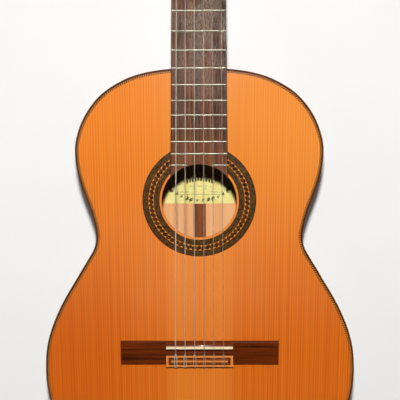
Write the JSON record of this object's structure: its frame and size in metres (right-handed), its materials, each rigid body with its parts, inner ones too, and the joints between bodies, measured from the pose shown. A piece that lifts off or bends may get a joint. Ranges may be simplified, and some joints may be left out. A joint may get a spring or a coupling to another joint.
{
  "type": "classical guitar",
  "caption": "Nylon-string classical guitar lying on its back: waisted hollow body with a round soundhole, ring inlay, tie bridge, fretted neck and slotted head with worm-geared tuning machines.",
  "frame": {"origin": "centre of the bounding box in X and Y, at the level of the flat middle of the back, which the guitar lies on", "axes": "+X towards the treble side, +Y along the neck towards the headstock, +Z out of the soundboard towards the player"},
  "size_m": [0.374, 0.9992, 0.1133],
  "materials": {
    "cedar": "gloss lacquer over straight vertical grain",
    "rosewood": "gloss lacquer",
    "back_wood": "gloss lacquer outside, bare inside",
    "mahogany": "satin",
    "spruce": "bare, sanded",
    "fingerboard": "bare, worn by the fingers",
    "maple": "gloss lacquer",
    "marquetry": "gloss lacquer over fine dyed veneers",
    "bone": "polished",
    "pearloid": "polished",
    "nylon": "clear, smooth",
    "silvered_wire": "fine winding across the string",
    "brass": "polished",
    "steel": "polished",
    "paper": "matt paper"
  },
  "bodies": {
    "guitar": {"back_binding": "rosewood", "back_brace_1": "spruce", "back_brace_2": "spruce", "back_brace_3": "spruce", "back_centre_strip": "mahogany", "back_lining": "spruce", "back_plate": "back_wood", "bass_side": "rosewood", "bridge": "rosewood", "fan_bracing": "spruce", "fretboard": "fingerboard", "headstock": "mahogany", "headstock_veneer": "rosewood", "heel_cap": "rosewood", "label": "paper", "lower_harmonic_bar": "spruce", "neck": "mahogany", "nut": "bone", "rosette": "marquetry", "saddle": "bone", "soundboard": "cedar", "string_1": "nylon", "string_2": "nylon", "string_3": "nylon", "string_4": "silvered_wire", "string_5": "silvered_wire", "string_6": "silvered_wire", "tail_block": "mahogany", "tie_block_inlay": "maple", "top_binding": "rosewood", "top_lining": "spruce", "top_purfling": "maple", "treble_side": "rosewood", "tuner_plate_bass": "brass", "tuner_plate_treble": "brass", "upper_harmonic_bar": "spruce"},
    "worm_1": {"worm_shaft_1": "steel", "tuner_button_1": "pearloid"},
    "roller_1": {"string_roller_1": "bone", "gear_1": "brass"},
    "worm_2": {"worm_shaft_2": "steel", "tuner_button_2": "pearloid"},
    "roller_2": {"string_roller_2": "bone", "gear_2": "brass"},
    "worm_3": {"worm_shaft_3": "steel", "tuner_button_3": "pearloid"},
    "roller_3": {"string_roller_3": "bone", "gear_3": "brass"},
    "worm_4": {"worm_shaft_4": "steel", "tuner_button_4": "pearloid"},
    "roller_4": {"string_roller_4": "bone", "gear_4": "brass"},
    "worm_5": {"worm_shaft_5": "steel", "tuner_button_5": "pearloid"},
    "roller_5": {"string_roller_5": "bone", "gear_5": "brass"},
    "worm_6": {"worm_shaft_6": "steel", "tuner_button_6": "pearloid"},
    "roller_6": {"string_roller_6": "bone", "gear_6": "brass"}
  },
  "joints": [
    {"name": "worm_1_turn", "type": "hinge", "parent": "guitar", "child": "worm_1", "pos_m": [0.0393, 0.36662, 0.08022], "axis": [0, 0.225, 0.9744], "continuous": true},
    {"name": "roller_1_turn", "type": "hinge", "parent": "guitar", "child": "roller_1", "pos_m": [0.0156, 0.37529, 0.07822], "axis": [1, 0, 0], "continuous": true},
    {"name": "worm_2_turn", "type": "hinge", "parent": "guitar", "child": "worm_2", "pos_m": [0.0393, 0.40073, 0.07235], "axis": [0, 0.225, 0.9744], "continuous": true},
    {"name": "roller_2_turn", "type": "hinge", "parent": "guitar", "child": "roller_2", "pos_m": [0.0156, 0.4094, 0.07035], "axis": [1, 0, 0], "continuous": true},
    {"name": "worm_3_turn", "type": "hinge", "parent": "guitar", "child": "worm_3", "pos_m": [0.0393, 0.43483, 0.06448], "axis": [0, 0.225, 0.9744], "continuous": true},
    {"name": "roller_3_turn", "type": "hinge", "parent": "guitar", "child": "roller_3", "pos_m": [0.0156, 0.4435, 0.06247], "axis": [1, 0, 0], "continuous": true},
    {"name": "worm_4_turn", "type": "hinge", "parent": "guitar", "child": "worm_4", "pos_m": [-0.0393, 0.43483, 0.06448], "axis": [0, 0.225, 0.9744], "continuous": true},
    {"name": "roller_4_turn", "type": "hinge", "parent": "guitar", "child": "roller_4", "pos_m": [-0.0156, 0.4435, 0.06247], "axis": [1, 0, 0], "continuous": true},
    {"name": "worm_5_turn", "type": "hinge", "parent": "guitar", "child": "worm_5", "pos_m": [-0.0393, 0.40073, 0.07235], "axis": [0, 0.225, 0.9744], "continuous": true},
    {"name": "roller_5_turn", "type": "hinge", "parent": "guitar", "child": "roller_5", "pos_m": [-0.0156, 0.4094, 0.07035], "axis": [1, 0, 0], "continuous": true},
    {"name": "worm_6_turn", "type": "hinge", "parent": "guitar", "child": "worm_6", "pos_m": [-0.0393, 0.36662, 0.08022], "axis": [0, 0.225, 0.9744], "continuous": true},
    {"name": "roller_6_turn", "type": "hinge", "parent": "guitar", "child": "roller_6", "pos_m": [-0.0156, 0.37529, 0.07822], "axis": [1, 0, 0], "continuous": true}
  ],
  "couplings": [
    {"joint": "roller_1_turn", "follows": "worm_1_turn", "ratio": 0.0625},
    {"joint": "roller_2_turn", "follows": "worm_2_turn", "ratio": 0.0625},
    {"joint": "roller_3_turn", "follows": "worm_3_turn", "ratio": 0.0625},
    {"joint": "roller_4_turn", "follows": "worm_4_turn", "ratio": 0.0625},
    {"joint": "roller_5_turn", "follows": "worm_5_turn", "ratio": 0.0625},
    {"joint": "roller_6_turn", "follows": "worm_6_turn", "ratio": 0.0625}
  ]
}
